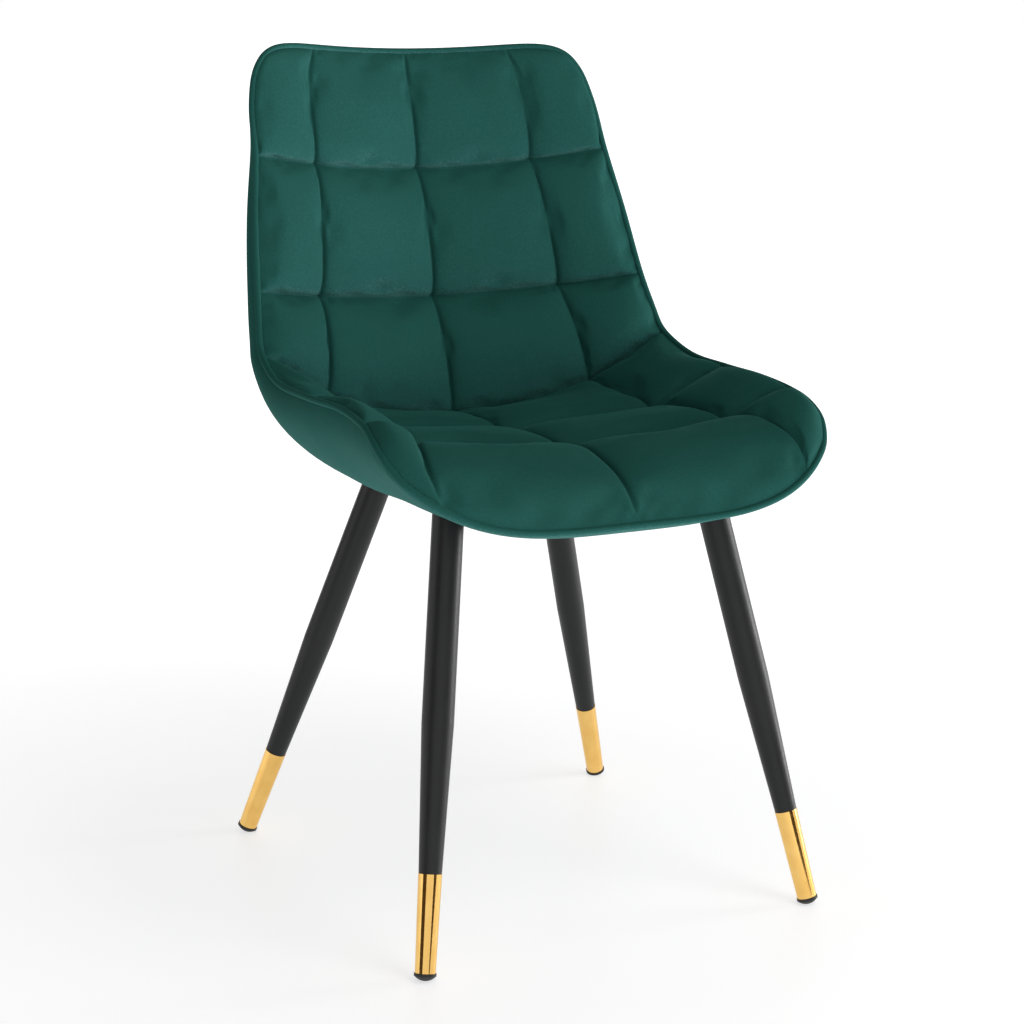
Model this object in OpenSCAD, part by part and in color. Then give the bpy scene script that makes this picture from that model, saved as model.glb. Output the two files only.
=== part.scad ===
// Upholstered dining chair: a quilted bucket seat on four splayed, tapered steel legs.
// Millimetres, +Z up, the sitter faces -Y. The origin is on the floor under the middle of the chair.

/* [Bucket] */
// Width across the widest part of the bucket's rim
bucket_w = 482; // [450:1:510]
// Depth from the front of the rim to the back of the backrest
bucket_d = 544; // [520:1:570]
// Height of the backrest's top edge above the lowest point of the underside
bucket_h = 450; // [430:1:470]
// Height of the underside's lowest point above the floor
underside_z = 392; // [380:1:405]
// How far the middle of a quilted square stands proud of the rows of stitching
quilt_puff = 18; // [8:1:20]

/* [Upholstery layers] */
// Thickness of the velvet covers with their backing
cover_t = 2; // [1.5:0.1:2.5]
// Thickness of the thin foam between the plywood and the outer cover
wadding_t = 6; // [5:0.5:6.5]
// Thickness of the bent plywood shell
plywood_t = 10; // [8:0.5:11]
// Diameter of the piping round the rim
welt_d = 6.8; // [5:0.1:8]
// Thickness of the dust cover
dust_cover_t = 0.8; // [0.5:0.1:1]

/* [Legs] */
// Diameter of the upper, straight part of a leg
leg_d = 31; // [26:0.5:32]
// Wall thickness of the leg tube
leg_wall = 1.5; // [1:0.1:2]
// Distance along the leg from the floor to the start of the taper
taper_start = 240; // [200:5:280]
// Diameter of a leg where it enters its end sleeve
leg_end_d = 22.2; // [20:0.1:24]
// Distance of the front feet from the middle plane
front_foot_x = 217; // [205:1:225]
// Distance of the rear feet from the middle plane
rear_foot_x = 222; // [210:1:230]

/* [End sleeves and glides] */
// Length of an end sleeve
sleeve_len = 92.5; // [70:0.5:110]
// Outer diameter of an end sleeve at its top
sleeve_top_d = 23; // [22.8:0.1:25]
// Outer diameter of an end sleeve at its bottom
sleeve_bottom_d = 20; // [19:0.1:21]
// Wall thickness of an end sleeve
sleeve_wall = 0.6; // [0.4:0.1:0.8]
// Diameter of a floor glide's rim
glide_d = 21.4; // [20:0.1:23]

/* [Hidden] */

$fn = 64;
big = 400;
gap = 0.1;

velvet = [0.07, 0.27, 0.24];
gold = [0.93, 0.72, 0.35];
black = [0.12, 0.12, 0.13];

// ---- The bucket's form -----------------------------------------------------------------------------
// u runs down the middle of the bucket, from 0 at the top edge to 1 at the front edge, and v runs across
// it, from -1 at one side of the rim to 1 at the other. Each station holds, for one u:
// rim x, y, z; inside middle y, z; outside middle y, z; and how sharply the inside turns up to the rim
// in y and in z.
STATIONS = [
    [0.00,  180, 213, 840,  257, 842,  257, 842,  2.0, 2.0],
    [0.02,  191, 207, 826,  254, 826,  272, 832,  1.9, 2.0],
    [0.06,  201, 195, 795,  241, 790,  276, 798,  1.8, 2.0],
    [0.13,  207, 172, 739,  219, 717,  260, 724,  1.6, 2.0],
    [0.21,  218, 147, 673,  198, 648,  237, 652,  1.8, 2.0],
    [0.28,  227, 120, 604,  178, 582,  217, 584,  1.9, 1.9],
    [0.34,  233, 101, 567,  155, 520,  196, 507,  1.7, 2.1],
    [0.41,  237,  84, 543,  127, 464,  162, 437,  1.6, 2.4],
    [0.47,  241,  37, 525,   73, 455,  105, 404,  1.8, 3.0],
    [0.55,  240, -39, 521,    9, 456,   25, 393,  2.0, 3.3],
    [0.65,  236, -110, 521, -55, 459,  -55, 392,  2.0, 3.3],
    [0.75,  238, -167, 515, -123, 463, -131, 394, 2.2, 3.2],
    [0.87,  241, -201, 503, -195, 458, -207, 401, 2.8, 3.2],
    [0.96,  238, -223, 487, -251, 436, -256, 410, 3.6, 3.6],
    [1.00,  230, -237, 472, -268, 418, -268, 418, 4.0, 4.0]
];
// Rows of stitching across the bucket, and the outer columns of stitching as a share of its half width
ROWS = [0, 0.13, 0.28, 0.41, 0.55, 0.75, 1];
COLUMN_SHARE = [[0, 0.64], [0.13, 0.622], [0.28, 0.626], [0.41, 0.66], [0.55, 0.695], [0.75, 0.74], [1, 0.868]];
// How far the outside swells sideways past the rim, and how squarely it turns in to the rim
SIDE_SWELL = [[0, 0], [0.08, 2], [0.16, 8], [0.25, 12], [0.35, 13], [0.45, 11], [0.6, 6], [0.8, 6], [0.95, 3], [1, 0]];
OUTSIDE_TURN = [[0, 4], [0.3, 4], [0.45, 2.8], [0.6, 2.4], [0.9, 2.4], [1, 4]];
ear_rise = 14;
ear_length = 0.12;
lip_bow = 12;
lip_length = 0.2;
row_puff_share = 0.68;

// Distance from the stations' y = 0 to the middle of the whole chair
frame_y = 2.05;

last = len(STATIONS) - 1;
x_scale = bucket_w / 482;
y_scale = bucket_d / 544;
z_scale = bucket_h / 450;

function slope(i) = (STATIONS[i + 1] - STATIONS[i]) / (STATIONS[i + 1][0] - STATIONS[i][0]);
function span(i) = STATIONS[i + 1][0] - STATIONS[i][0];
function tangent(i) =
    i == 0 ? 2 * slope(0) - tangent(1)
    : i == last ? 2 * slope(last - 1) - tangent(last - 1)
    : (slope(i) * span(i - 1) + slope(i - 1) * span(i)) / (span(i) + span(i - 1));
TANGENTS = [for (i = [0:last]) tangent(i)];
function segment(u, i = 0) = i >= last - 1 || u < STATIONS[i + 1][0] ? i : segment(u, i + 1);

// The form's values at u, on a smooth curve through the stations
function station(u) =
    let (
        i = segment(u),
        h = span(i),
        t = (u - STATIONS[i][0]) / h
    )
    (2 * pow(t, 3) - 3 * pow(t, 2) + 1) * STATIONS[i]
        + (pow(t, 3) - 2 * pow(t, 2) + t) * h * TANGENTS[i]
        + (3 * pow(t, 2) - 2 * pow(t, 3)) * STATIONS[i + 1]
        + (pow(t, 3) - pow(t, 2)) * h * TANGENTS[i + 1];

function fade(distance, length) = pow(max(0, 1 - distance / length), 2);

// The inside face at the depth of the stitching
function inside(s, v) =
    let (
        a = abs(v),
        up = ear_rise * pow(a, 2) * (1 - pow(a, 8)) * fade(s[0], ear_length),
        out = lip_bow * pow(a, 2) * (1 - pow(a, 6)) * fade(1 - s[0], lip_length)
    )
    [
        s[1] * v,
        s[4] + (s[2] - s[4]) * pow(a, s[8]) - out,
        s[5] + (s[3] - s[5]) * pow(a, s[9]) + up
    ];

function side(v) = v < 0 ? -1 : v > 0 ? 1 : 0;

// From the inside face to the outside face
function through(s, v) =
    let (
        k = sqrt(max(0, 1 - pow(abs(v), lookup(s[0], OUTSIDE_TURN)))),
        swell = lookup(s[0], SIDE_SWELL) * sin(180 * k)
    )
    [side(v) * swell, (s[6] - s[4]) * k, (s[7] - s[5]) * k];

function to_frame(p) = [p[0] * x_scale, (p[1] - frame_y) * y_scale, underside_z + (p[2] - 392) * z_scale];

// A point that lies depth above the outside face, or a share of the way through where the bucket is thin
function from_outside(u, v, depth, share = 0.3) =
    let (s = station(u), d = through(s, v))
    to_frame(inside(s, v) + d * max(1 - depth / norm(d), 1 - share));

// The quilting lifts the inside face between its rows of stitching, and a little more inside each square.
// Along the bucket, i counts the rows from 0 to 6, and across it, j counts the columns from -2 to 2.
function row(i) = lookup(i, [for (k = [0:len(ROWS) - 1]) [k, ROWS[k]]]);
function column(u, j) =
    let (c = lookup(u, COLUMN_SHARE))
    lookup(j, [[-2, -1], [-1, -c], [0, 0], [1, c], [2, 1]]);
function hump(t) = let (f = t - floor(t)) 4 * f * (1 - f);
function puff(i, j) =
    let (a = hump(i), b = hump(j), to_rim = 1 - pow(abs(j) / 2, 6))
    quilt_puff * a * (row_puff_share * to_rim + (1 - row_puff_share) * b);
function from_inside(i, j, depth) =
    let (u = row(i), v = column(u, j), s = station(u), d = through(s, v))
    to_frame(inside(s, v) - d / norm(d) * puff(i, j) + d * min(depth / norm(d), 0.3));

// ---- Solids from points ----------------------------------------------------------------------------
function quad(a, b, c, d) = [[a, b, c], [a, c, d]];
function wall(edge, base) =
    [for (k = [0:len(edge) - 2]) each quad(edge[k + 1], edge[k], edge[k] + base, edge[k + 1] + base)];

// A closed solid between two grids of points, the first on the sitter's side
module slab(near, far) {
    n = len(near);
    m = len(near[0]);
    base = n * m;
    cells = [for (i = [0:n - 2]) for (j = [0:m - 2]) i * m + j];
    faces = concat(
        [for (c = cells) each quad(c, c + 1, c + m + 1, c + m)],
        [for (c = cells) each quad(base + c, base + c + m, base + c + m + 1, base + c + 1)],
        wall([for (j = [0:m - 1]) j], base),
        wall([for (i = [0:n - 1]) i * m + m - 1], base),
        wall([for (j = [m - 1:-1:0]) (n - 1) * m + j], base),
        wall([for (i = [n - 1:-1:0]) i * m], base)
    );
    polyhedron([for (grid = [near, far]) for (line = grid) each line], faces);
}

// A closed ring through a loop of sections, each with the same number of points
module ring(sections) {
    n = len(sections);
    m = len(sections[0]);
    faces = [
        for (i = [0:n - 1]) for (j = [0:m - 1])
            let (a = i * m, b = ((i + 1) % n) * m, k = (j + 1) % m)
            each quad(a + j, b + j, b + k, a + k)
    ];
    polyhedron([for (s = sections) each s], faces);
}

function unit(a) = a / norm(a);

// Stands its children's Z axis along a direction
module stand_along(at, direction) {
    translate(at)
        rotate([0, acos(direction[2] / norm(direction)), atan2(direction[1], direction[0])])
            children();
}

// ---- Upholstery ------------------------------------------------------------------------------------
// The covers stop at the piping, and the plywood stops where the bucket gets too thin to hold it
edge_inset = 0.035;
fine_rows = [for (i = [0:31]) min(max(i * 6 / 31, edge_inset), 6 - edge_inset)];
fine_columns = [for (j = [0:20]) min(max(j / 5 - 2, -1.955), 1.955)];
PLYWOOD_HALF = [
    [0.036, 0.62], [0.05, 0.80], [0.08, 0.86], [0.14, 0.89], [0.35, 0.89], [0.41, 0.85],
    [0.48, 0.87], [0.88, 0.87], [0.93, 0.82], [0.955, 0.68]
];
plywood_rows = [for (i = [0:25]) 0.036 + (0.955 - 0.036) * (i / 25 + 0.03 * sin(-360 * i / 25))];
plywood_columns = [for (j = [0:16]) j / 8 - 1];

function quilted_face(depth) = [for (i = fine_rows) [for (j = fine_columns) from_inside(i, j, depth)]];
function full_face(depth, share) =
    [for (i = fine_rows) [for (j = fine_columns) from_outside(row(i), column(row(i), j), depth, share)]];
function plywood_face(depth) = [
    for (u = plywood_rows) [for (j = plywood_columns) from_outside(u, j * lookup(u, PLYWOOD_HALF), depth)]
];

plywood_out = cover_t + wadding_t;
plywood_in = plywood_out + plywood_t;

module plywood_shell() {
    color("burlywood")
        difference() {
            slab(plywood_face(plywood_in), plywood_face(plywood_out + gap));
            for (leg = LEGS) {
                stand_along(leg_point(leg, -12), leg_axis(leg))
                    cylinder(r = boss_r + 0.6, h = 40);
                for (k = [0:3])
                    screw_at(leg, k)
                        translate([0, 0, -screw_len])
                            cylinder(r = screw_r + gap, h = screw_len);
            }
        }
}

module foam_pad() {
    color("khaki")
        slab(quilted_face(cover_t), full_face(plywood_in + gap, 0.5));
}

module outer_wadding() {
    color("beige")
        difference() {
            slab(plywood_face(plywood_out), plywood_face(cover_t + gap));
            for (leg = LEGS)
                stand_along(mount_point(leg), mount_normal(leg))
                    translate([0, 0, -8])
                        cylinder(r = plate_r + 1.5, h = 24);
        }
}

// A foam edge that fills the rim between the plywood's edge and the piping
side_steps = 30;
end_steps = 14;
function rim_walk(u0, u1) = concat(
    [for (k = [0:end_steps - 1]) [u0, 2 * k / end_steps - 1]],
    [for (k = [0:side_steps - 1]) [u0 + (u1 - u0) * k / side_steps, 1]],
    [for (k = [0:end_steps - 1]) [u1, 1 - 2 * k / end_steps]],
    [for (k = [0:side_steps - 1]) [u1 - (u1 - u0) * k / side_steps, -1]]
);
edge_first = row(edge_inset);
edge_last = row(6 - edge_inset);
edge_side = 0.985;
roll_gap = 0.004;

module edge_roll() {
    inner = rim_walk(0.036 - roll_gap, 0.955 + roll_gap);
    outer = rim_walk(edge_first, edge_last);
    color("lightgray")
        ring([
            for (k = [0:len(inner) - 1])
                let (
                    p = inner[k],
                    q = outer[k],
                    pv = p[1] * (lookup(p[0], PLYWOOD_HALF) + roll_gap),
                    qv = q[1] * edge_side
                )
                [
                    from_outside(p[0], pv, plywood_in - gap, 0.5),
                    from_outside(q[0], qv, plywood_in - gap, 0.48),
                    from_outside(q[0], qv, cover_t + gap, 0.32),
                    from_outside(p[0], pv, cover_t + gap, 0.32)
                ]
        ]);
}

module front_cover() {
    color(velvet)
        slab(quilted_face(0), quilted_face(cover_t - gap));
}

module outer_cover() {
    color(velvet)
        difference() {
            slab(full_face(cover_t, 0.3), full_face(0, 0.3));
            for (leg = LEGS)
                stand_along(leg_point(leg, -40), leg_axis(leg))
                    cylinder(d = leg_d + 1, h = 80);
        }
}

module rim_welt() {
    walk = rim_walk(0, 1);
    path = [for (w = walk) to_frame(inside(station(w[0]), w[1]))];
    n = len(path);
    heart = [0, 25, 560];
    color(velvet)
        ring([
            for (k = [0:n - 1])
                let (
                    t = unit(path[(k + 1) % n] - path[(k + n - 1) % n]),
                    away = path[k] - heart,
                    x = unit(away - (away * t) * t),
                    y = cross(t, x)
                )
                [for (a = [0:45:315]) path[k] + welt_d / 2 * (cos(a) * x + sin(a) * y)]
        ]);
}

// ---- Underside -------------------------------------------------------------------------------------
DUST_HALF = [[0.53, 0.34], [0.545, 0.42], [0.575, 0.47], [0.70, 0.48], [0.84, 0.47], [0.87, 0.42], [0.885, 0.34]];
dust_rows = [for (i = [0:14]) 0.53 + 0.355 * i / 14];
dust_columns = [for (j = [0:12]) j / 6 - 1];
function dust_face(depth) =
    [for (u = dust_rows) [for (j = dust_columns) from_outside(u, j * lookup(u, DUST_HALF), -depth)]];

module dust_cover() {
    color("dimgray")
        slab(dust_face(gap), dust_face(gap + dust_cover_t));
}

staple_w = 10;
staple_leg = 5;
wire = 0.7;

// One staple, its crown flat on the dust cover and along it
module staple(u, v, along) {
    depth = gap + dust_cover_t;
    here = from_outside(u, v, -depth);
    ahead = from_outside(u + along[0] * 0.01, v + along[1] * 0.01, -depth);
    n = outward_normal(u, v);
    x = unit(ahead - here);
    y = cross(n, x);
    multmatrix([
        [x[0], y[0], n[0], here[0]],
        [x[1], y[1], n[1], here[1]],
        [x[2], y[2], n[2], here[2]]
    ])
        union() {
            translate([-staple_w / 2, -wire / 2, 0])
                cube([staple_w, wire, wire]);
            for (s = [-1, 1])
                translate([s * (staple_w - wire) / 2 - wire / 2, -wire / 2, -staple_leg])
                    cube([wire, wire, staple_leg + wire / 2]);
        }
}

module dust_cover_staples() {
    color("silver")
        for (s = [-1, 1]) {
            for (u = [0.58:0.035:0.83])
                staple(u, s * 0.445, [1, 0]);
            for (v = [0.05:0.1:0.25]) {
                staple(0.541, s * v, [0, 1]);
                staple(0.873, s * v, [0, 1]);
            }
        }
}

// ---- Legs ------------------------------------------------------------------------------------------
// Where each leg meets the bucket (u, v), and where its axis meets the floor (x, y)
LEGS = [
    [0.776, 0.595, front_foot_x, -261],
    [0.776, -0.595, -front_foot_x, -261],
    [0.470, 0.40, rear_foot_x, 188],
    [0.470, -0.40, -rear_foot_x, 188]
];
FRONT_LEFT = LEGS[0];
FRONT_RIGHT = LEGS[1];
REAR_LEFT = LEGS[2];
REAR_RIGHT = LEGS[3];

plate_r = 28;
plate_t = 3;
boss_r = 8;
stud_r = 4.9;
screw_r = 1.9;
screw_len = 9;
screw_ring = 21;
plug_t = 6;
glide_bottom = 4.6;
glide_top = 7.3;
glide_stem = 20;
dome_r = 13.6;
dome_wear = 0.2;
sleeve_top = glide_top + sleeve_len;
fit = 0.05;

function outward_normal(u, v) =
    unit(cross(
        from_outside(u, v + 0.01, 0) - from_outside(u, v - 0.01, 0),
        from_outside(u - 0.01, v, 0) - from_outside(u + 0.01, v, 0)
    ) * -1);
function mount_point(leg) = from_outside(leg[0], leg[1], plywood_out);
function mount_normal(leg) = outward_normal(leg[0], leg[1]);
function foot(leg) = [leg[2], (leg[3] - frame_y) * y_scale, 0];
function leg_axis(leg) = unit(mount_point(leg) - foot(leg));
function leg_length(leg) = norm(mount_point(leg) - foot(leg));
// A point on the leg's axis, at a height above the plywood along it
function leg_point(leg, h) = mount_point(leg) + leg_axis(leg) * h;

// Places its children on a plate's outer face at one of its screws, +Z out of the plate
module screw_at(leg, k) {
    stand_along(mount_point(leg) + mount_normal(leg) * (plate_t + gap), mount_normal(leg))
        rotate([0, 0, 45 + 90 * k])
            translate([screw_ring, 0, 0])
                children();
}

// Everything on the bucket's side of a plate's outer face
module above_plate(leg) {
    stand_along(mount_point(leg) + mount_normal(leg) * (plate_t + 2 * gap), -mount_normal(leg))
        translate([-big / 2, -big / 2, 0])
            cube(big);
}

module leg(leg) {
    straight_r = leg_d / 2;
    shoulder_r = leg_end_d / 2;
    top_r = sleeve_top_d / 2 - sleeve_wall - fit;
    bottom_r = sleeve_bottom_d / 2 - sleeve_wall - fit;
    top = leg_length(leg) + straight_r;
    color(black)
        difference() {
            stand_along(foot(leg), leg_axis(leg))
                rotate_extrude()
                    polygon([
                        [bottom_r - leg_wall, glide_top],
                        [bottom_r, glide_top],
                        [top_r, sleeve_top],
                        [shoulder_r, sleeve_top],
                        [straight_r, taper_start],
                        [straight_r, top],
                        [straight_r - leg_wall, top],
                        [straight_r - leg_wall, taper_start],
                        [top_r - leg_wall, sleeve_top]
                    ]);
            above_plate(leg);
        }
}

module end_sleeve(leg) {
    color(gold)
        stand_along(foot(leg), leg_axis(leg))
            rotate_extrude()
                polygon([
                    [sleeve_bottom_d / 2 - sleeve_wall, glide_top],
                    [sleeve_bottom_d / 2, glide_top],
                    [sleeve_top_d / 2, sleeve_top],
                    [sleeve_top_d / 2 - sleeve_wall, sleeve_top]
                ]);
}

module floor_glide(leg) {
    stem_r = sleeve_bottom_d / 2 - sleeve_wall - leg_wall - 0.4;
    dome = [for (a = [0:6:48]) [dome_r * sin(a), dome_r * (1 - cos(a)) - dome_wear]];
    color([0.1, 0.1, 0.1])
        difference() {
            stand_along(foot(leg), leg_axis(leg))
                rotate_extrude()
                    polygon(concat(dome, [
                        [glide_d / 2, glide_bottom],
                        [glide_d / 2, glide_top - fit],
                        [stem_r, glide_top - fit],
                        [stem_r, glide_top + glide_stem],
                        [0, glide_top + glide_stem]
                    ]));
            translate([-big, -big, -big])
                cube([2 * big, 2 * big, big]);
        }
}

module mount_plate(leg) {
    color("gray")
        difference() {
            union() {
                stand_along(mount_point(leg) + mount_normal(leg) * gap, mount_normal(leg))
                    cylinder(r = plate_r, h = plate_t);
                stand_along(leg_point(leg, -1), leg_axis(leg))
                    cylinder(r = boss_r, h = 9);
            }
            stand_along(leg_point(leg, -20), leg_axis(leg))
                cylinder(r = stud_r + gap, h = 40);
            for (k = [0:3])
                screw_at(leg, k) {
                    translate([0, 0, -plate_t - 1])
                        cylinder(r = screw_r + gap, h = plate_t + 2);
                    translate([0, 0, -2.2])
                        cylinder(r1 = screw_r, r2 = 2 * screw_r + gap, h = 2.3);
                }
        }
}

module plate_screws() {
    color("silver")
        for (leg = LEGS)
            for (k = [0:3])
                screw_at(leg, k) {
                    translate([0, 0, -2])
                        cylinder(r1 = screw_r, r2 = 2 * screw_r, h = 2);
                    translate([0, 0, -screw_len + 2])
                        cylinder(r = screw_r, h = screw_len - 3);
                    translate([0, 0, -screw_len])
                        cylinder(r1 = 0.2, r2 = screw_r, h = 2);
                }
}

module leg_top_plugs() {
    color("gray")
        for (leg = LEGS)
            difference() {
                stand_along(leg_point(leg, -plug_t - 10), leg_axis(leg))
                    cylinder(r = leg_d / 2 - leg_wall - fit, h = plug_t + 20);
                above_plate(leg);
                stand_along(leg_point(leg, -60), leg_axis(leg))
                    cylinder(r = stud_r + fit, h = 120);
            }
}

module leg_studs() {
    color("silver")
        for (leg = LEGS)
            stand_along(leg_point(leg, -plug_t - 12), leg_axis(leg))
                cylinder(r = stud_r, h = plug_t + 20);
}

plywood_shell();
foam_pad();
edge_roll();
outer_wadding();
front_cover();
outer_cover();
rim_welt();
dust_cover();
dust_cover_staples();
leg(FRONT_LEFT);  // leg_front_left
leg(FRONT_RIGHT);  // leg_front_right
leg(REAR_LEFT);  // leg_rear_left
leg(REAR_RIGHT);  // leg_rear_right
end_sleeve(FRONT_LEFT);  // end_sleeve_front_left
end_sleeve(FRONT_RIGHT);  // end_sleeve_front_right
end_sleeve(REAR_LEFT);  // end_sleeve_rear_left
end_sleeve(REAR_RIGHT);  // end_sleeve_rear_right
floor_glide(FRONT_LEFT);  // floor_glide_front_left
floor_glide(FRONT_RIGHT);  // floor_glide_front_right
floor_glide(REAR_LEFT);  // floor_glide_rear_left
floor_glide(REAR_RIGHT);  // floor_glide_rear_right
mount_plate(FRONT_LEFT);  // mount_plate_front_left
mount_plate(FRONT_RIGHT);  // mount_plate_front_right
mount_plate(REAR_LEFT);  // mount_plate_rear_left
mount_plate(REAR_RIGHT);  // mount_plate_rear_right
plate_screws();
leg_top_plugs();
leg_studs();
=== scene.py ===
"""Upholstered dining chair: velvet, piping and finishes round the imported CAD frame."""
import math

import bpy
import numpy as np
from mathutils import Matrix, Vector


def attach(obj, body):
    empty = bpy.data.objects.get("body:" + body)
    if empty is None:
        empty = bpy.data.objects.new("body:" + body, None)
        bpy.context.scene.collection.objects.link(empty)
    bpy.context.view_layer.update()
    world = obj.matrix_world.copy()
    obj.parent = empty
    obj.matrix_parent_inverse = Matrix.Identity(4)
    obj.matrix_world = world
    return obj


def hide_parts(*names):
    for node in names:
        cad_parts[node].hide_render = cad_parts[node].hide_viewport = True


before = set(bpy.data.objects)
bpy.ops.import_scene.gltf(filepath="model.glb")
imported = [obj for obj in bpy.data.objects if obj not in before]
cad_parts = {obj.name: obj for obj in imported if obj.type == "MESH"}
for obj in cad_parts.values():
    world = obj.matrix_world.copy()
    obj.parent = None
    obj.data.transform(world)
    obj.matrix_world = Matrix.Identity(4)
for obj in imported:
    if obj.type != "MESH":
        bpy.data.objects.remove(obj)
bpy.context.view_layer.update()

MM = 0.001
LEGS = ("front_left", "front_right", "rear_left", "rear_right")

# ---- Camera ---------------------------------------------------------------------------------------
CAMERA_PLACE = (-1.0818, -2.0742, 0.8949)
CAMERA_AZIMUTH = math.radians(-27.71)
CAMERA_ELEVATION = math.radians(12.49)
CAMERA_ROLL = math.radians(0.66)
CAMERA_LENS = 80.77


def add_camera():
    data = bpy.data.cameras.new("camera")
    data.lens = CAMERA_LENS
    data.sensor_width = 36
    camera = bpy.data.objects.new("camera", data)
    bpy.context.scene.collection.objects.link(camera)
    a, e = CAMERA_AZIMUTH, CAMERA_ELEVATION
    back = Vector((math.sin(a) * math.cos(e), -math.cos(a) * math.cos(e), math.sin(e)))
    right = Vector((math.cos(a), math.sin(a), 0))
    up = back.cross(right)
    turned = math.cos(CAMERA_ROLL) * right + math.sin(CAMERA_ROLL) * up
    up = math.cos(CAMERA_ROLL) * up - math.sin(CAMERA_ROLL) * right
    camera.matrix_world = Matrix.Translation(CAMERA_PLACE) @ Matrix((turned, up, back)).transposed().to_4x4()
    bpy.context.scene.camera = camera


add_camera()

# ---- The bucket's form: the CAD's, with the low part of its sides up to 4 mm fuller ------------------
# u runs down the middle from the top edge (0) to the front edge (1), and v across, from -1 to 1.
# u; rim x, y, z; inside middle y, z; outside middle y, z; how sharply the inside turns up in y and z
STATIONS = np.array([
    (0.00, 180, 213, 840, 257, 842, 257, 842, 2.0, 2.0),
    (0.02, 191, 207, 826, 254, 826, 272, 832, 1.9, 2.0),
    (0.06, 201, 195, 795, 241, 790, 276, 798, 1.8, 2.0),
    (0.13, 207, 172, 739, 219, 717, 260, 724, 1.6, 2.0),
    (0.21, 218, 147, 673, 198, 648, 237, 652, 1.8, 2.0),
    (0.28, 227, 120, 604, 178, 582, 217, 584, 1.9, 1.9),
    (0.34, 233, 101, 567, 155, 520, 196, 507, 1.7, 2.1),
    (0.41, 237, 84, 543, 127, 464, 162, 437, 1.6, 2.4),
    (0.47, 241, 37, 525, 73, 455, 105, 404, 1.8, 3.0),
    (0.55, 240, -39, 521, 9, 456, 25, 393, 2.0, 3.3),
    (0.65, 236, -110, 521, -55, 459, -55, 392, 2.0, 3.3),
    (0.75, 238, -167, 515, -123, 463, -131, 394, 2.2, 3.2),
    (0.87, 241, -201, 503, -195, 458, -207, 401, 2.8, 3.2),
    (0.96, 238, -223, 487, -251, 436, -256, 410, 3.6, 3.6),
    (1.00, 230, -237, 472, -268, 418, -268, 418, 4.0, 4.0),
])
# Rows of stitching across the bucket, and the outer columns of stitching as a share of its half width
ROWS = (0, 0.13, 0.28, 0.41, 0.55, 0.75, 1)
COLUMN_SHARE = ((0, 0.13, 0.28, 0.41, 0.55, 0.75, 1), (0.64, 0.622, 0.626, 0.66, 0.695, 0.74, 0.868))
# How far the outside swells sideways past the rim, in millimetres: 4 more than the CAD's at 0.45 and 3
# more at 0.6. Then how squarely it turns in to the rim.
SIDE_SWELL = ((0, 0.08, 0.16, 0.25, 0.35, 0.45, 0.6, 0.8, 0.95, 1), (0, 2, 8, 12, 13, 15, 9, 6, 3, 0))
OUTSIDE_TURN = ((0, 0.3, 0.45, 0.6, 0.9, 1), (4, 4, 2.8, 2.4, 2.4, 4))
# The stations' y less this is the frame's y
FRAME_Y = 2.05
# The top edge's rise towards its corners, and the front edge's bow, with how far each reaches in u
EAR_RISE, EAR_LENGTH = 14, 0.12
LIP_BOW, LIP_LENGTH = 12, 0.2
# How far in u the corners of the tables are eased
EASE = 0.02


def through_points(x, xs, ys):
    """The smooth curve through points, with one or several values each."""
    xs, ys = np.asarray(xs, float), np.asarray(ys, float)
    ys = ys[:, None] if ys.ndim == 1 else ys
    gaps = np.diff(xs)[:, None]
    slopes = np.diff(ys, axis=0) / gaps
    tangents = np.zeros_like(ys)
    tangents[1:-1] = (slopes[1:] * gaps[:-1] + slopes[:-1] * gaps[1:]) / (gaps[1:] + gaps[:-1])
    tangents[0] = 2 * slopes[0] - tangents[1]
    tangents[-1] = 2 * slopes[-1] - tangents[-2]
    x = np.atleast_1d(np.asarray(x, float))
    k = np.clip(np.searchsorted(xs, x, side="right") - 1, 0, len(xs) - 2)
    h = gaps[k]
    t = (x - xs[k])[:, None] / h
    return (
        (2 * t**3 - 3 * t**2 + 1) * ys[k]
        + (t**3 - 2 * t**2 + t) * h * tangents[k]
        + (3 * t**2 - 2 * t**3) * ys[k + 1]
        + (t**3 - t**2) * h * tangents[k + 1]
    )


def curve_value(x, table):
    """A table's value between its points, with the corners at the points eased."""
    return np.mean([np.interp(x + shift, *table) for shift in np.linspace(-EASE, EASE, 9)], axis=0)


def inside(u, v):
    """The inside face at the depth of the stitching, in millimetres."""
    s = through_points(u, STATIONS[:, 0], STATIONS[:, 1:])
    a = np.abs(v)
    up = EAR_RISE * a**2 * (1 - a**8) * np.clip(1 - u / EAR_LENGTH, 0, 1) ** 2
    out = LIP_BOW * a**2 * (1 - a**6) * np.clip(1 - (1 - u) / LIP_LENGTH, 0, 1) ** 2
    x = s[:, 0] * v
    y = s[:, 3] + (s[:, 1] - s[:, 3]) * a ** s[:, 7] - out - FRAME_Y
    z = s[:, 4] + (s[:, 2] - s[:, 4]) * a ** s[:, 8] + up
    return np.stack([x, y, z], 1)


def through(u, v):
    """From the inside face to the outside face, in millimetres."""
    s = through_points(u, STATIONS[:, 0], STATIONS[:, 1:])
    k = np.sqrt(np.clip(1 - np.abs(v) ** curve_value(u, OUTSIDE_TURN), 0, 1))
    x = np.sign(v) * curve_value(u, SIDE_SWELL) * np.sin(np.pi * k)
    return np.stack([x, (s[:, 5] - s[:, 3]) * k, (s[:, 6] - s[:, 4]) * k], 1)


def unit(d):
    """Directions one millimetre long."""
    return d / np.maximum(np.linalg.norm(d, axis=1), 1e-6)[:, None]


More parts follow.
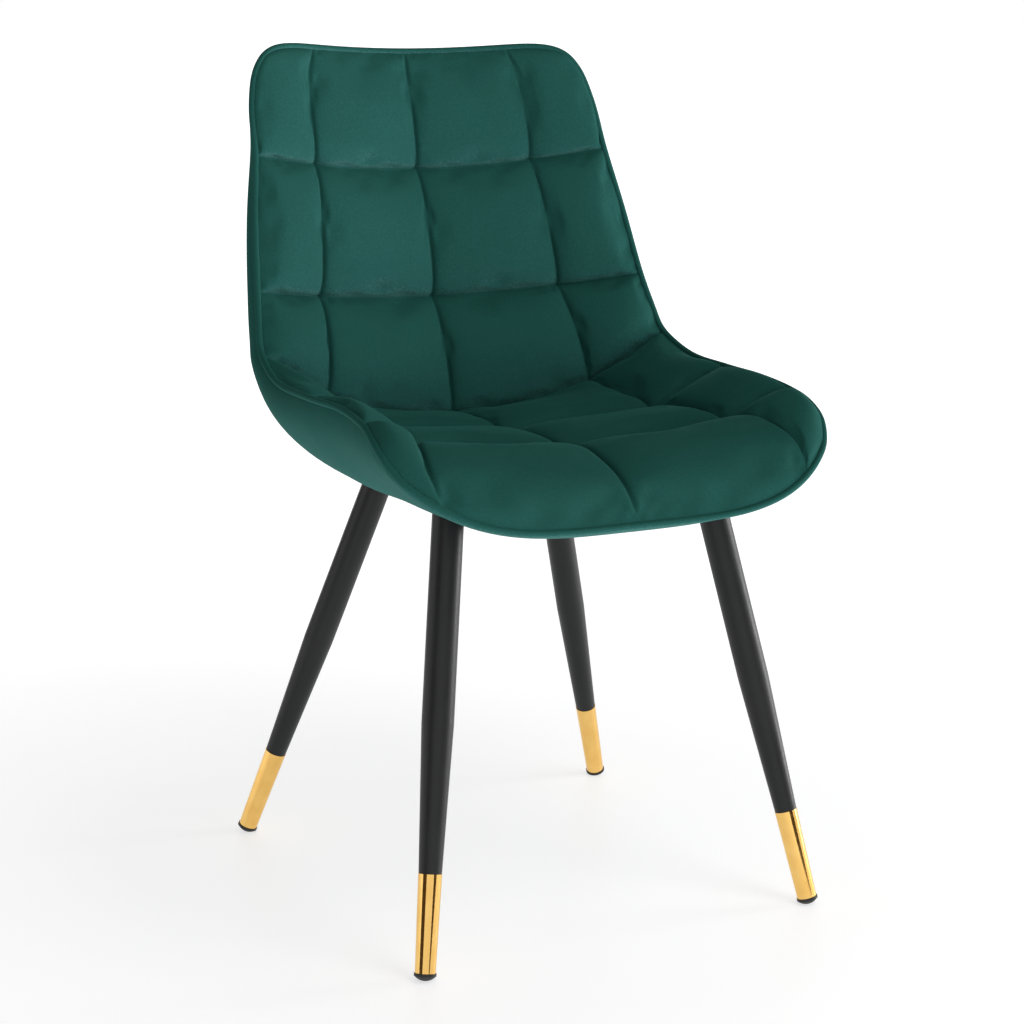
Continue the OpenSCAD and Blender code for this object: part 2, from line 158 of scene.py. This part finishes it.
def from_outside(u, v, depth, share=0.3):
    """Points that far in from the outside face, but never past that share of the bucket's thickness."""
    d = through(u, v)
    thickness = np.maximum(np.linalg.norm(d, axis=1), 1e-6)
    return inside(u, v) + d * np.maximum(1 - depth / thickness, 1 - share)[:, None]


def row(i):
    return np.interp(i, range(7), ROWS)


def column(u, j):
    c = curve_value(u, COLUMN_SHARE)
    a = np.abs(j)
    return np.sign(j) * np.where(a < 1, a * c, c + (a - 1) * (1 - c))


def grid_points(lines, posts):
    """Every pair of a line and a post, flat, and the grid's size."""
    i, j = np.meshgrid(lines, posts, indexing="ij")
    return i.ravel(), j.ravel(), (len(lines), len(posts))


# ---- Meshes from grids -------------------------------------------------------------------------------
def new_object(name, points_mm, faces, smooth=True):
    mesh = bpy.data.meshes.new(name)
    mesh.from_pydata((np.asarray(points_mm) * MM).tolist(), [], faces)
    mesh.validate()
    mesh.polygons.foreach_set("use_smooth", [smooth] * len(mesh.polygons))
    ob = bpy.data.objects.new(name, mesh)
    bpy.context.scene.collection.objects.link(ob)
    return ob


def grid_faces(n, m, start=0, flip=False):
    a = (np.arange(n - 1)[:, None] * m + np.arange(m - 1)[None]).ravel() + start
    quads = np.stack([a, a + m, a + m + 1, a + 1], 1)
    return (quads[:, ::-1] if flip else quads).tolist()


def closed_faces(n, m):
    """Faces of a near grid and a far grid of n by m points each, joined round their edges."""
    base = n * m
    edge = np.concatenate([
        np.arange(m),
        np.arange(1, n) * m + m - 1,
        (n - 1) * m + np.arange(m - 2, -1, -1),
        np.arange(n - 2, 0, -1) * m,
    ])
    after = np.roll(edge, -1)
    rim = np.stack([edge, after, after + base, edge + base], 1).tolist()
    return grid_faces(n, m) + grid_faces(n, m, base, True) + rim


def ring_faces(n, m):
    """Faces of a closed loop of n rings with m points each."""
    i, j = np.meshgrid(np.arange(n), np.arange(m), indexing="ij")
    a, b = (i * m).ravel(), ((i + 1) % n * m).ravel()
    j = j.ravel()
    k = (j + 1) % m
    return np.stack([a + j, a + k, b + k, b + j], 1).tolist()


# ---- The quilted seat pad ----------------------------------------------------------------------------
# Millimetres of cloth to one unit: of v, then of u by the top edge, by the front edge and on average
HALF_WIDTH = 235
TOP_SPAN, FRONT_SPAN, MEAN_SPAN = 960, 600, 750
# How far inside the outermost seams the grids stop, in cells
EDGE = 0.006
# How far each row of squares swells between its two rows of stitching, top row first, in millimetres
ROW_SWELL = (6, 11, 11, 11, 7, 10)
# How far the middle of each square stands above the stitching at its sides
SQUARE_CROWN = (9, 10, 11, 12, 13, 13)
CREASE_DEPTH, CREASE_WIDTH = 2.4, 2.6
TUFT_DEPTH, TUFT_WIDTH = 4, 11
# How far from the piping the creases fade out
CREASE_END = 5
# The roll beside the piping: its height, and how quickly it rises and dies away
ROLL_HEIGHT, ROLL_RISE, ROLL_REACH = 4.5, 3, 22
# The dip where the pad is sewn to the piping
SEWN_DEPTH, SEWN_REACH = 2.6, 2.5
# Grid steps to a square: in the finished pad, and in the cloth that is simulated
CELL_STEPS = 36
CLOTH_STEPS = 14
# How much the grid lines close up at the seams
CLOSING = 0.7
# The furthest that the simulation may move the cloth, and how many frames it runs
MOST_MOVED = 4
CLOTH_FRAMES = 25
# The pad's back: how far in from the outside face, and the most of the bucket's thickness it may reach
PAD_BACK, PAD_BACK_SHARE = 18.3, 0.5


def row_part(i):
    k = np.clip(np.floor(i), 0, 5).astype(int)
    return k, i - k


def swell_shape(t, p, q):
    return np.clip(1 - np.abs(2 * t - 1) ** p, 0, 1) ** q


def quilting(i, j):
    """How far the pad stands proud of the depth of its stitching."""
    k, a = row_part(i)
    b = np.abs(j) - np.floor(np.abs(j))
    b = np.where(np.abs(j) >= 2, 0, b)
    towards_rim = 1 - (np.abs(j) / 2) ** 8
    swell = np.take(ROW_SWELL, k) * swell_shape(a, 2.2, 0.55) * towards_rim
    crown = np.take(SQUARE_CROWN, k) * swell_shape(a, 2.4, 0.52) * swell_shape(b, 2.3, 0.55)
    return swell + crown


def rim_distance(u, v):
    """Roughly how far along the cloth the piping is, in millimetres."""
    return np.min([(1 - np.abs(v)) * HALF_WIDTH, u * TOP_SPAN, (1 - u) * FRONT_SPAN], axis=0)


def creases(i, j):
    """The narrow dips along the stitching, and the roll of the pad's edge down to the piping."""
    u = row(i)
    v = column(u, j)
    across = np.min([np.abs(u - line) * MEAN_SPAN for line in ROWS[1:-1]], axis=0)
    c = curve_value(u, COLUMN_SHARE)
    along = np.min([np.abs(v), np.abs(v - c), np.abs(v + c)], axis=0) * HALF_WIDTH
    lines = np.exp(-((across / CREASE_WIDTH) ** 2)) + np.exp(-((along / CREASE_WIDTH) ** 2))
    dips = -CREASE_DEPTH * lines
    dips -= TUFT_DEPTH * np.exp(-(across**2 + along**2) / TUFT_WIDTH**2)
    edge = rim_distance(u, v)
    roll = ROLL_HEIGHT * (1 - np.exp(-edge / ROLL_RISE)) * np.exp(-edge / ROLL_REACH)
    roll = roll - SEWN_DEPTH * np.exp(-edge / SEWN_REACH)
    return dips * (1 - np.exp(-edge / CREASE_END)) + roll


def pad_face(i, j):
    """The front of the pad before its cloth settles."""
    u = row(i)
    v = column(u, j)
    inwards = unit(through(u, v))
    return inside(u, v) - inwards * (quilting(i, j) + creases(i, j))[:, None]


def graded(cells, steps, start):
    """Grid lines that close up near each seam."""
    t = np.arange(steps) / steps
    t = t - CLOSING / (2 * math.pi) * np.sin(2 * math.pi * t)
    lines = (np.arange(cells)[:, None] + t[None]).ravel()
    return np.append(lines, cells) + start


def pad_lines(steps):
    lines = np.clip(graded(6, steps, 0), EDGE, 6 - EDGE)
    posts = np.clip(graded(4, steps, -2), -2 + EDGE, 2 - EDGE)
    return lines, posts


def settled(lines, posts):
    """How far the velvet moves from its drawn form when it is blown up between its seams."""
    coarse_lines, coarse_posts = pad_lines(CLOTH_STEPS)
    i, j, (n, m) = grid_points(coarse_lines, coarse_posts)
    drawn = pad_face(i, j)
    ob = new_object("cloth", drawn, grid_faces(n, m))
    rows_of, posts_of = np.meshgrid(np.arange(n), np.arange(m), indexing="ij")
    sewn = (rows_of % CLOTH_STEPS == 0) | (posts_of % CLOTH_STEPS == 0)
    ob.vertex_groups.new(name="sewn").add(np.flatnonzero(sewn.ravel()).tolist(), 1, "REPLACE")
    cloth = ob.modifiers.new("cloth", "CLOTH").settings
    cloth.vertex_group_mass = "sewn"
    cloth.quality = 8
    cloth.mass = 0.1
    cloth.tension_stiffness = cloth.compression_stiffness = 20
    cloth.shear_stiffness = 8
    cloth.bending_stiffness = 2.0
    cloth.shrink_min = -0.008
    cloth.use_pressure = True
    cloth.uniform_pressure_force = 2.0
    cloth.effector_weights.gravity = 0
    scene = bpy.context.scene
    for step in range(1, CLOTH_FRAMES + 1):
        scene.frame_set(step)
    evaluated = ob.evaluated_get(bpy.context.evaluated_depsgraph_get())
    moved = np.empty(len(drawn) * 3)
    evaluated.data.vertices.foreach_get("co", moved)
    scene.frame_set(1)
    bpy.data.objects.remove(ob)
    moved = moved.reshape(-1, 3) / MM - drawn
    length = np.maximum(np.linalg.norm(moved, axis=1), 1e-6)[:, None]
    moved *= np.tanh(length / MOST_MOVED) * MOST_MOVED / length
    down = through_points(lines, coarse_lines, moved.reshape(n, -1)).reshape(len(lines), m, 3)
    over = down.transpose(1, 0, 2).reshape(m, -1)
    fine = through_points(posts, coarse_posts, over).reshape(len(posts), len(lines), 3)
    return fine.transpose(1, 0, 2).reshape(-1, 3)


def velvet_pad():
    lines, posts = pad_lines(CELL_STEPS)
    i, j, (n, m) = grid_points(lines, posts)
    front = pad_face(i, j)
    front = front + settled(lines, posts)
    u = row(i)
    back = from_outside(u, column(u, j), PAD_BACK, PAD_BACK_SHARE)
    return new_object("seat_pad", np.concatenate([front, back]), closed_faces(n, m))


pad = velvet_pad()
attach(pad, "root")
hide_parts("front_cover", "foam_pad")


# ---- Wadding and edge roll, behind the outer cover -----------------------------------------------------
# Depths in from the outside face: of the outer cover's inner face, the wadding's two faces and the
# foam edge's front
COVER_INNER = 2
WADDING_BACK, WADDING_FRONT = 2.4, 8
FOAM_EDGE_FRONT = 17.8
# The plywood's half width as a share of the bucket's, along u
PLYWOOD_HALF = (
    (0.036, 0.05, 0.08, 0.14, 0.35, 0.41, 0.48, 0.88, 0.93, 0.955),
    (0.62, 0.80, 0.86, 0.89, 0.89, 0.85, 0.87, 0.87, 0.82, 0.68),
)


def wadding_layer():
    lines = np.linspace(PLYWOOD_HALF[0][0], PLYWOOD_HALF[0][-1], 141)
    u, j, (n, m) = grid_points(lines, np.linspace(-1, 1, 91))
    v = j * np.interp(u, *PLYWOOD_HALF)
    points = np.concatenate([from_outside(u, v, WADDING_FRONT), from_outside(u, v, WADDING_BACK)])
    return new_object("wadding_layer", points, closed_faces(n, m))


def rim_walk(first, last, side, ends=60, sides=160):
    """Evenly numbered places round the bucket, near its rim: (u, v) pairs as two lists."""
    across = np.linspace(-1, 1, ends, endpoint=False)
    down = np.linspace(first, last, sides, endpoint=False)
    back = first + last - down
    u = np.concatenate([np.full(ends, first), down, np.full(ends, last), back])
    v = np.concatenate([across, np.ones(sides), -across, -np.ones(sides)])
    return u, v * side(u)


def foam_edge():
    inner = rim_walk(0.032, 0.959, lambda u: np.interp(u, *PLYWOOD_HALF) + 0.004)
    outer = rim_walk(0.005, 0.991, lambda u: 0.985)
    corners = [
        (inner, FOAM_EDGE_FRONT, 0.5),
        (outer, FOAM_EDGE_FRONT, 0.48),
        (outer, WADDING_BACK, 0.34),
        (inner, WADDING_BACK, 0.34),
    ]
    rings = np.stack([from_outside(*place, depth, share) for place, depth, share in corners], 1)
    return new_object("foam_edge", rings.reshape(-1, 3), ring_faces(len(rings), 4), smooth=False)


wadding, roll = wadding_layer(), foam_edge()
for piece, node, finish in ((wadding, "outer_wadding", "wadding"), (roll, "edge_roll", "foam")):
    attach(piece, "root")
    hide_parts(node)


# ---- Outer cover -------------------------------------------------------------------------------------
COVER_STEPS = 30
# Beside the piping the cover bulges out, then tucks in to be sewn: each one's depth and reach
BULGE_DEPTH, BULGE_REACH = 3.2, 9
TUCK_DEPTH, TUCK_REACH = 5.4, 3.5


def outer_cover():
    lines, posts = pad_lines(COVER_STEPS)
    i, j, (n, m) = grid_points(lines, posts)
    u = row(i)
    v = column(u, j)
    outwards = unit(through(u, v))
    near_edge = rim_distance(u, v)
    bulge = BULGE_DEPTH * np.exp(-near_edge / BULGE_REACH)
    tuck = outwards * (bulge - TUCK_DEPTH * np.exp(-near_edge / TUCK_REACH))[:, None]
    points = np.concatenate([from_outside(u, v, COVER_INNER) + tuck, from_outside(u, v, 0) + tuck])
    return new_object("outer_cover_velvet", points, closed_faces(n, m))


cover = outer_cover()
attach(cover, "root")
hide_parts("outer_cover")


# ---- Piping ------------------------------------------------------------------------------------------
WELT_R = 3.4
WELT_RINGS, WELT_SIDES = 900, 14
BUCKET_MIDDLE = (0, 23, 560)


def rim_line(count):
    """Evenly spaced points round the rim, a closed loop."""
    t = np.linspace(0, 1, 400, endpoint=False)
    across, along = 2 * t - 1, t
    ones = np.ones_like(t)
    legs = ((0 * t, across), (along, ones), (ones, -across), (1 - along, -ones))
    points = np.concatenate([inside(np.clip(u, 0, 1), v) for u, v in legs])
    loop = np.concatenate([points, points[:1]])
    length = np.concatenate([[0], np.cumsum(np.linalg.norm(np.diff(loop, axis=0), axis=1))])
    at = np.linspace(0, length[-1], count, endpoint=False)
    return np.stack([np.interp(at, length, loop[:, k]) for k in range(3)], 1)


def smoothed(loop, width):
    """A closed loop of points, averaged over a few neighbours."""
    weights = np.exp(-0.5 * (np.arange(-3 * width, 3 * width + 1) / width) ** 2)
    weights /= weights.sum()
    return sum(w * np.roll(loop, k - 3 * width, axis=0) for k, w in enumerate(weights))


def piping():
    path = smoothed(rim_line(WELT_RINGS), 3)
    n, sides = len(path), WELT_SIDES
    tangent = np.roll(path, -1, axis=0) - np.roll(path, 1, axis=0)
    tangent /= np.linalg.norm(tangent, axis=1)[:, None]
    away = path - np.array(BUCKET_MIDDLE)
    away -= (away * tangent).sum(1)[:, None] * tangent
    away /= np.linalg.norm(away, axis=1)[:, None]
    other = np.cross(tangent, away)
    angle = 2 * math.pi * np.arange(sides) / sides
    ring = np.cos(angle)[None, :, None] * away[:, None] + np.sin(angle)[None, :, None] * other[:, None]
    points = path[:, None] + WELT_R * ring
    return new_object("rim_piping", points.reshape(-1, 3), ring_faces(n, sides))


welt = piping()
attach(welt, "root")
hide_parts("rim_welt")


# ---- Dust cover --------------------------------------------------------------------------------------
# The dust cover's half width as a share of the bucket's, along u, and its two faces below the cover
DUST_HALF = ((0.53, 0.545, 0.575, 0.70, 0.84, 0.87, 0.885), (0.34, 0.42, 0.47, 0.48, 0.47, 0.42, 0.34))
DUST_TOP, DUST_BOTTOM = 0.15, 0.85


def dust_cover():
    u, j, (n, m) = grid_points(np.linspace(DUST_HALF[0][0], DUST_HALF[0][-1], 61), np.linspace(-1, 1, 49))
    v = j * np.interp(u, *DUST_HALF)
    points = np.concatenate([from_outside(u, v, -DUST_TOP), from_outside(u, v, -DUST_BOTTOM)])
    return new_object("dust_cover_cloth", points, closed_faces(n, m))


dust = dust_cover()
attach(dust, "root")
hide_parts("dust_cover")


# ---- Materials ---------------------------------------------------------------------------------------
class Material:
    """A material made of nodes, on a Principled shader."""

    def __init__(self, name, **constants):
        self.data = bpy.data.materials.new(name)
        self.data.use_nodes = True
        self.tree = self.data.node_tree
        self.shader = self.tree.nodes["Principled BSDF"]
        for key, value in constants.items():
            self.shader.inputs[key.replace("_", " ")].default_value = value
        self.place = self.add("ShaderNodeTexCoord").outputs["Object"]

    def add(self, kind, **settings):
        node = self.tree.nodes.new(kind)
        for key, value in settings.items():
            setattr(node, key, value)
        return node

    def join(self, output, node, key):
        self.tree.links.new(output, node.inputs[key])

    def stretched(self, scale):
        node = self.add("ShaderNodeMapping")
        node.inputs["Scale"].default_value = scale
        self.join(self.place, node, "Vector")
        return node.outputs["Vector"]

    def noise(self, scale, detail=2.0, place=None, distortion=0.0, roughness=0.5):
        node = self.add("ShaderNodeTexNoise")
        self.join(place or self.place, node, "Vector")
        node.inputs["Scale"].default_value = scale
        node.inputs["Detail"].default_value = detail
        node.inputs["Distortion"].default_value = distortion
        node.inputs["Roughness"].default_value = roughness
        return node.outputs["Fac"]

    def ramp(self, value, *stops):
        """Colours or greys along a value: (place, colour) pairs."""
        node = self.add("ShaderNodeValToRGB")
        self.join(value, node, "Fac")
        while len(node.color_ramp.elements) < len(stops):
            node.color_ramp.elements.new(0.5)
        for element, (at, colour) in zip(node.color_ramp.elements, stops):
            element.position = at
            element.color = (colour,) * 3 + (1,) if isinstance(colour, (int, float)) else (*colour, 1)
        return node.outputs["Color"]

    def sum(self, *parts):
        """Values times their weights, added up: (value, weight) pairs."""
        total = None
        for value, weight in parts:
            node = self.add("ShaderNodeMath", operation="MULTIPLY_ADD")
            self.join(value, node, 0)
            node.inputs[1].default_value = weight
            if total is None:
                node.inputs[2].default_value = 0
            else:
                self.join(total, node, 2)
            total = node.outputs[0]
        return total

    def colour(self, output):
        self.join(output, self.shader, "Base Color")

    def roughness(self, output):
        self.join(output, self.shader, "Roughness")

    def bump(self, output, depth, strength=1.0):
        node = self.add("ShaderNodeBump")
        node.inputs["Strength"].default_value = strength
        node.inputs["Distance"].default_value = depth
        self.join(output, node, "Height")
        self.join(node.outputs["Normal"], self.shader, "Normal")


def velvet(name, colours):
    """Velvet with painted light and shade: its colour is darker or lighter with the way the surface faces,
    with random tone of the pile on top.
    """
    m = Material(
        name,
        Sheen_Weight=0.09,
        Sheen_Roughness=0.3,
        Sheen_Tint=(0.2, 0.85, 0.75, 1),
        Specular_IOR_Level=0.06,
    )
    # Painted light and shade: the way the surface faces sets how light the velvet's colour is
    facing = m.add("ShaderNodeVectorMath", operation="DOT_PRODUCT")
    m.join(m.add("ShaderNodeNewGeometry").outputs["Normal"], facing, 0)
    facing.inputs[1].default_value = PAINTED_LIGHT_FACING
    nap = m.noise(6, 3, distortion=0.5)
    strokes = m.noise(30, 4, place=m.stretched((1, 1, 0.5)), distortion=1.0)
    pile = m.noise(420, 3, roughness=0.8)
    # How light the colour is: painted shade from the facing, plus random tone from three noises
    shade = m.sum((facing.outputs["Value"], 0.36), (nap, 0.14), (strokes, 0.09), (pile, 0.44))
    m.colour(m.ramp(shade, *zip(PAINTED_SHADE_STOPS, colours)))
    m.roughness(m.ramp(strokes, (0.3, 0.8), (0.7, 0.95)))
    m.bump(m.sum((pile, 1.0), (strokes, 0.5)), 0.0004, 0.5)
    return m.data


def powder_coat():
    m = Material("black_powder_coat", Specular_IOR_Level=0.3)
    grain = m.noise(1500, 3)
    cloud = m.noise(12, 3)
    m.colour(m.ramp(cloud, (0.3, (0.010, 0.0105, 0.011)), (0.75, (0.016, 0.0165, 0.017))))
    m.roughness(m.ramp(cloud, (0.3, 0.36), (0.7, 0.46)))
    m.bump(grain, 0.0002, 0.35)
    return m.data


def gold():
    m = Material("polished_gold", Metallic=1.0)
    haze = m.noise(60, 4)
    scratches = m.noise(300, 5, place=m.stretched((6, 6, 0.5)))
    m.colour(m.ramp(haze, (0.3, (0.84, 0.50, 0.14)), (0.7, (0.90, 0.57, 0.18))))
    m.roughness(m.ramp(scratches, (0.35, 0.05), (0.75, 0.13)))
    m.bump(m.sum((haze, 0.6), (scratches, 0.3)), 0.0001, 0.12)
    return m.data


def nylon():
    m = Material("black_nylon", Specular_IOR_Level=0.4)
    grain = m.noise(900, 3)
    scuffs = m.noise(70, 5, place=m.stretched((1, 1, 4)))
    m.colour(m.ramp(scuffs, (0.45, (0.012, 0.013, 0.012)), (0.85, (0.05, 0.05, 0.048))))
    m.roughness(m.ramp(scuffs, (0.3, 0.42), (0.8, 0.7)))
    m.bump(grain, 0.0002, 0.4)
    return m.data


def plywood():
    m = Material("birch_plywood", Specular_IOR_Level=0.3)
    grain = m.noise(9, 6, place=m.stretched((14, 1, 1)), distortion=0.8)
    fibre = m.noise(120, 3, place=m.stretched((10, 1, 1)))
    shade = m.sum((grain, 0.7), (fibre, 0.3))
    m.colour(m.ramp(shade, (0.3, (0.33, 0.19, 0.09)), (0.55, (0.52, 0.34, 0.18)), (0.8, (0.66, 0.47, 0.28))))
    m.roughness(m.ramp(fibre, (0.3, 0.5), (0.7, 0.75)))
    m.bump(shade, 0.0004, 0.5)
    return m.data


def foam(name, dark, light):
    m = Material(name, Specular_IOR_Level=0.1, Roughness=0.95)
    cells = m.noise(500, 4, roughness=0.75)
    m.colour(m.ramp(m.sum((cells, 0.6), (m.noise(14, 3), 0.4)), (0.3, dark), (0.7, light)))
    m.bump(cells, 0.0008, 0.8)
    return m.data


def nonwoven():
    m = Material("spunbond_black", Specular_IOR_Level=0.25)
    dots = m.add("ShaderNodeTexVoronoi", feature="F1")
    dots.inputs["Scale"].default_value = 420
    dots.inputs["Randomness"].default_value = 0.25
    m.join(m.place, dots, "Vector")
    fibres = m.noise(260, 5, place=m.stretched((1, 4, 1)))
    m.colour(m.ramp(fibres, (0.35, (0.006, 0.006, 0.007)), (0.7, (0.022, 0.022, 0.024))))
    m.roughness(m.ramp(fibres, (0.3, 0.75), (0.7, 0.92)))
    m.bump(m.sum((dots.outputs["Distance"], 1.0), (fibres, 0.5)), 0.0004, 0.6)
    return m.data


def zinc():
    m = Material("zinc_plate", Metallic=1.0)
    spangle = m.noise(140, 4, distortion=0.4)
    m.colour(m.ramp(spangle, (0.3, (0.42, 0.43, 0.45)), (0.7, (0.66, 0.67, 0.69))))
    m.roughness(m.ramp(spangle, (0.3, 0.28), (0.7, 0.48)))
    m.bump(m.noise(700, 2), 0.0001, 0.3)
    return m.data


# The velvet's colour has light and shade painted into it: it is painted lightest where the cloth faces this
# way, to the sitter's left, forwards and down
PAINTED_LIGHT_FACING = (0.24, -0.42, -0.87)
# Where the four velvet colours sit along the painted shade and random tone, then the colours themselves,
# from painted shadow to painted highlight
PAINTED_SHADE_STOPS = (0.08, 0.38, 0.57, 0.73)
VELVET_SHADED_TO_LIT = ((0.011, 0.070, 0.057), (0.017, 0.094, 0.080), (0.026, 0.122, 0.110), (0.068, 0.200, 0.185))


def dress(nodes, material):
    for name in nodes:
        for material_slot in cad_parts[name].material_slots:
            material_slot.material = material


def of_legs(prefix):
    return [f"{prefix}_{leg}" for leg in LEGS]


velvet_cloth = velvet("green_velvet", VELVET_SHADED_TO_LIT)
for piece in (pad, cover, welt):
    piece.data.materials.append(velvet_cloth)
dust.data.materials.append(nonwoven())
dress(of_legs("leg") + ["leg_top_plugs"], powder_coat())
dress(of_legs("end_sleeve"), gold())
dress(of_legs("floor_glide"), nylon())
dress(of_legs("mount_plate") + ["plate_screws", "leg_studs", "dust_cover_staples"], zinc())
dress(["plywood_shell"], plywood())
roll.data.materials.append(foam("grey_foam", (0.30, 0.30, 0.29), (0.48, 0.48, 0.46)))
wadding.data.materials.append(foam("pale_foam", (0.62, 0.60, 0.52), (0.80, 0.78, 0.70)))


# ---- Floor and light ---------------------------------------------------------------------------------
def floor():
    """A white floor, lit from below as a light table is, that gets brighter away from the chair."""
    ob = new_object("floor", [(x, y, 0) for y in (-30000, 90000) for x in (-60000, 60000)], [(0, 1, 3, 2)])
    m = Material("white_floor", Roughness=0.5, Specular_IOR_Level=0.3)
    m.colour(m.ramp(m.noise(0.7, 2), (0.3, 0.50), (0.7, 0.52)))
    far = m.add("ShaderNodeVectorMath", operation="LENGTH")
    m.join(m.place, far, 0)
    m.join(m.ramp(m.sum((far.outputs["Value"], 0.25)), (0.1, 0.66), (0.6, 1.0)), m.shader, "Emission Color")
    m.shader.inputs["Emission Strength"].default_value = 1
    ob.data.materials.append(m.data)


def area_light(name, place, target, size, power):
    data = bpy.data.lights.new(name, "AREA")
    data.shape = "RECTANGLE"
    data.size, data.size_y = size
    data.energy = power
    ob = bpy.data.objects.new(name, data)
    ob.location = place
    ob.rotation_euler = (Vector(target) - Vector(place)).to_track_quat("-Z", "Y").to_euler()
    bpy.context.scene.collection.objects.link(ob)


CARD_DISTANCE, CARD_HEIGHT = 2500, 2400
# Where the soft light comes from: the right, the front and below
SOFT_LIGHT = (0.62, -0.46, -0.64)


def dark_card(name, angle, width):
    """A tall black card beside the chair, which only shiny surfaces see."""
    a = math.radians(angle)
    middle = np.array([math.sin(a), -math.cos(a)]) * CARD_DISTANCE
    along = np.array([math.cos(a), math.sin(a)]) * width / 2
    corners = [(*(middle + s * along), z) for z in (0, CARD_HEIGHT) for s in (-1, 1)]
    ob = new_object(name, corners, [(0, 1, 3, 2)])
    m = Material("black_card", Roughness=0.9)
    m.colour(m.ramp(m.noise(3), (0.3, (0.05, 0.03, 0.015)), (0.7, (0.06, 0.035, 0.02))))
    ob.data.materials.append(m.data)
    ob.visible_camera = ob.visible_diffuse = ob.visible_shadow = False


def studio():
    """A white surround whose soft light comes mostly from the right, the front and below."""
    world = bpy.data.worlds.new("studio")
    world.use_nodes = True
    tree = world.node_tree
    towards = tree.nodes.new("ShaderNodeVectorMath")
    towards.operation = "DOT_PRODUCT"
    towards.inputs[1].default_value = SOFT_LIGHT
    tree.links.new(tree.nodes.new("ShaderNodeTexCoord").outputs["Generated"], towards.inputs[0])
    ramp = tree.nodes.new("ShaderNodeValToRGB")
    tree.links.new(towards.outputs["Value"], ramp.inputs["Fac"])
    ramp.color_ramp.elements[0].position = 0
    ramp.color_ramp.elements[0].color = (0.24, 0.24, 0.24, 1)
    ramp.color_ramp.elements[1].position = 0.8
    ramp.color_ramp.elements[1].color = (1.3, 1.3, 1.3, 1)
    rays = tree.nodes.new("ShaderNodeLightPath")
    plain = tree.nodes.new("ShaderNodeMath")
    plain.operation = "MAXIMUM"
    tree.links.new(rays.outputs["Is Camera Ray"], plain.inputs[0])
    tree.links.new(rays.outputs["Is Glossy Ray"], plain.inputs[1])
    seen = tree.nodes.new("ShaderNodeMix")
    seen.data_type = "RGBA"
    tree.links.new(plain.outputs["Value"], seen.inputs["Factor"])
    tree.links.new(ramp.outputs["Color"], seen.inputs[6])
    seen.inputs[7].default_value = (1, 1, 1, 1)
    tree.links.new(seen.outputs[2], tree.nodes["Background"].inputs["Color"])
    bpy.context.scene.world = world
    bpy.context.scene.view_settings.view_transform = "Standard"
    area_light("key", (1.3, -2.5, 0.5), (0.1, 0, 0.45), (1.2, 1.0), 9)
    area_light("side", (2.6, -0.6, 0.25), (0, -0.1, 0.45), (0.7, 1.2), 40)
    area_light("seat", (0.5, -1.0, 2.0), (0.15, -0.05, 0.45), (0.8, 0.8), 8)
    dark_card("card_left", -72, 1500)
    dark_card("card_right", 22, 1500)
    dark_card("card_behind", -148, 1400)


floor()
studio()
